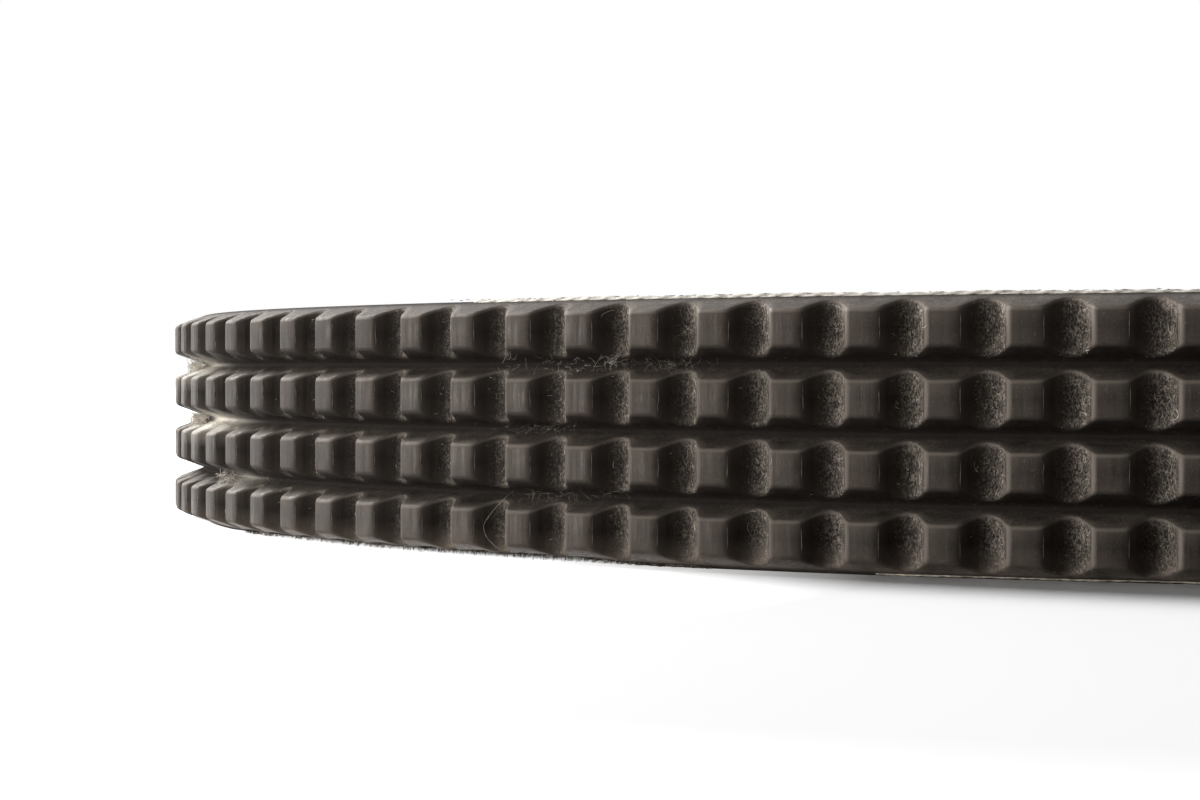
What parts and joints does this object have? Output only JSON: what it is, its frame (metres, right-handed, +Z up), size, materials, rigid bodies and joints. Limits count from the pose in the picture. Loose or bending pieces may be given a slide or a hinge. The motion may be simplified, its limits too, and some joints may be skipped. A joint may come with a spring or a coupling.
{
  "type": "pump drive belt",
  "caption": "Endless notched V-ribbed rubber drive belt, standing on its edge as a slack oval loop with its ribs and cross notches turned outward.",
  "frame": {"origin": "middle of the loop, on the surface that the belt's edge stands on", "axes": "+Z up, across the belt's width; +X along the long axis of the slack oval loop; +Y along its short axis"},
  "size_m": [0.1626, 0.1334, 0.0142],
  "materials": {
    "belt_rubber": "matt ground rubber with short fibres showing, warm black, scuffed grey-brown on the rib tips"
  },
  "bodies": {
    "root": {"drive_belt": "belt_rubber"}
  },
  "joints": []
}
